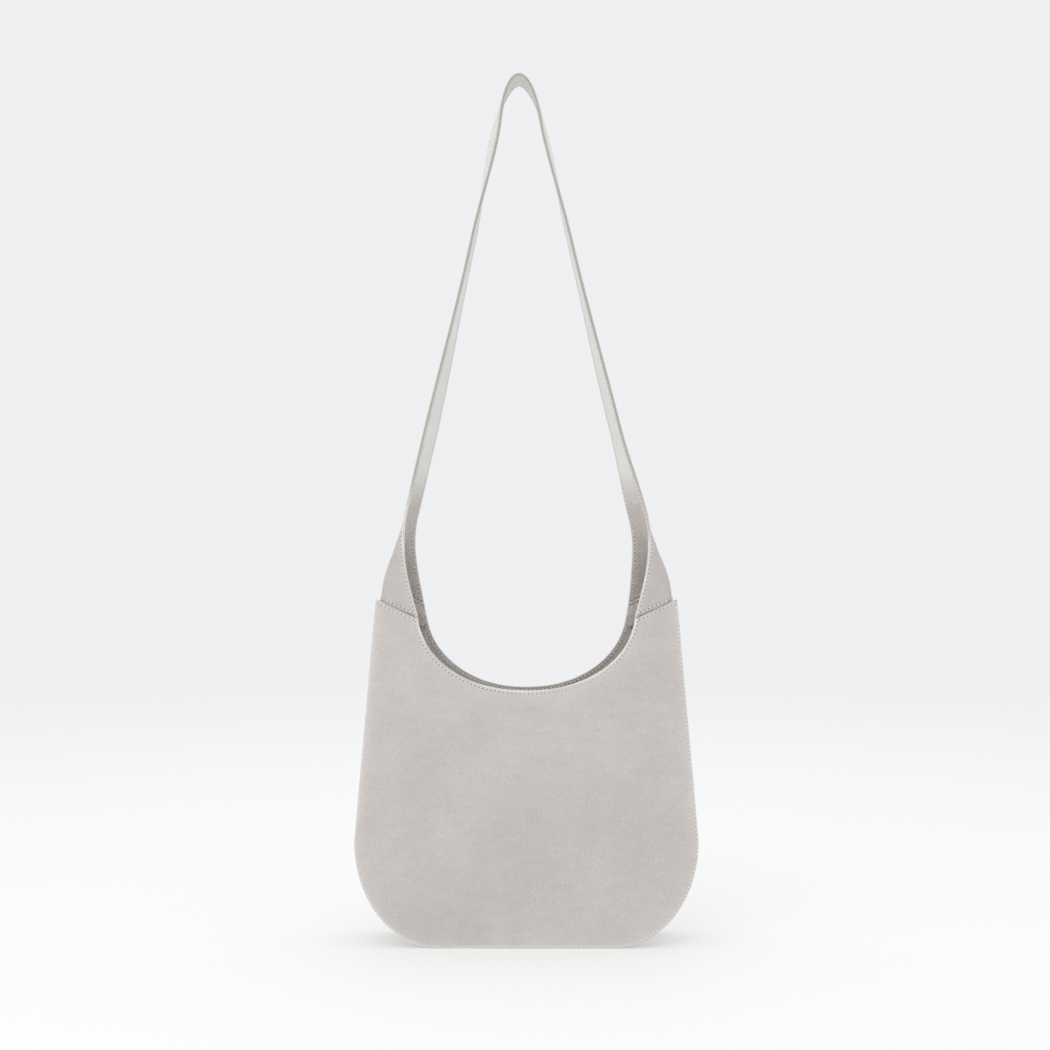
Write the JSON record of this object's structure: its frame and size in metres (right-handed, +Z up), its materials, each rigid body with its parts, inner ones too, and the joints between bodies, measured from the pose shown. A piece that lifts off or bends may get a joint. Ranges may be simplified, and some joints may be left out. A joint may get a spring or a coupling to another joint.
{
  "type": "hobo bag",
  "caption": "Small suede hobo bag on a flat base, with a U-shaped mouth and one long wide shoulder strap that flares into folded yokes.",
  "frame": {"origin": "middle of the base, on the floor", "axes": "+Z up along the strap, -Y out of the front panel, +X to the right seen from the front"},
  "size_m": [0.31, 0.065, 0.792],
  "materials": {
    "suede_outer": "pale warm grey suede, matt, fine nap",
    "suede_strap": "pale warm grey suede, matt, fine nap",
    "suede_inner": "suede lining, a shade darker",
    "cotton": "plain woven cotton",
    "board": "fibre stiffener",
    "zip_tape": "woven tape",
    "zip_coil": "nylon coil",
    "metal": "satin nickel"
  },
  "bodies": {
    "bag": {"front_panel": "suede_outer", "back_panel": "suede_outer", "gusset_left": "suede_outer", "gusset_right": "suede_outer", "yoke_left": "suede_outer", "yoke_right": "suede_outer", "pocket_welt": "suede_outer", "strap_bend_outer_left": "suede_strap", "strap_bend_outer_right": "suede_strap", "strap_bend_lining_left": "suede_inner", "strap_bend_lining_right": "suede_inner", "front_lining": "suede_inner", "back_lining": "suede_inner", "gusset_lining_left": "suede_inner", "gusset_lining_right": "suede_inner", "yoke_lining_left": "suede_inner", "yoke_lining_right": "suede_inner", "base_board": "board", "pocket_bag": "cotton", "snap_stud": "metal", "snap_socket": "metal", "snap_stud_washer": "metal", "snap_socket_washer": "metal", "zip_tape_upper": "zip_tape", "zip_tape_lower": "zip_tape", "zip_coil_upper": "zip_coil", "zip_coil_lower": "zip_coil", "zip_stop_start": "metal", "zip_stop_end": "metal"},
    "strap": {"strap_outer": "suede_strap", "strap_lining": "suede_inner"},
    "slider": {"zip_slider": "metal"},
    "pull": {"zip_pull": "metal"}
  },
  "joints": [
    {"name": "strap_swing", "type": "hinge", "parent": "bag", "child": "strap", "pos_m": [0, 0, 0.412], "axis": [1, 0, 0], "range_deg": [-100, 100], "deforming": ["strap_bend_outer_left", "strap_bend_outer_right", "strap_bend_lining_left", "strap_bend_lining_right"]},
    {"name": "zip_slide", "type": "slide", "parent": "bag", "child": "slider", "axis": [-1, 0, 0], "range_m": [0, 0.128]},
    {"name": "zip_pull_hinge", "type": "hinge", "parent": "slider", "child": "pull", "pos_m": [0.064, 0.02302, 0.12994], "axis": [0, -0.0187, 0.9998], "range_deg": [0, 170]}
  ]
}
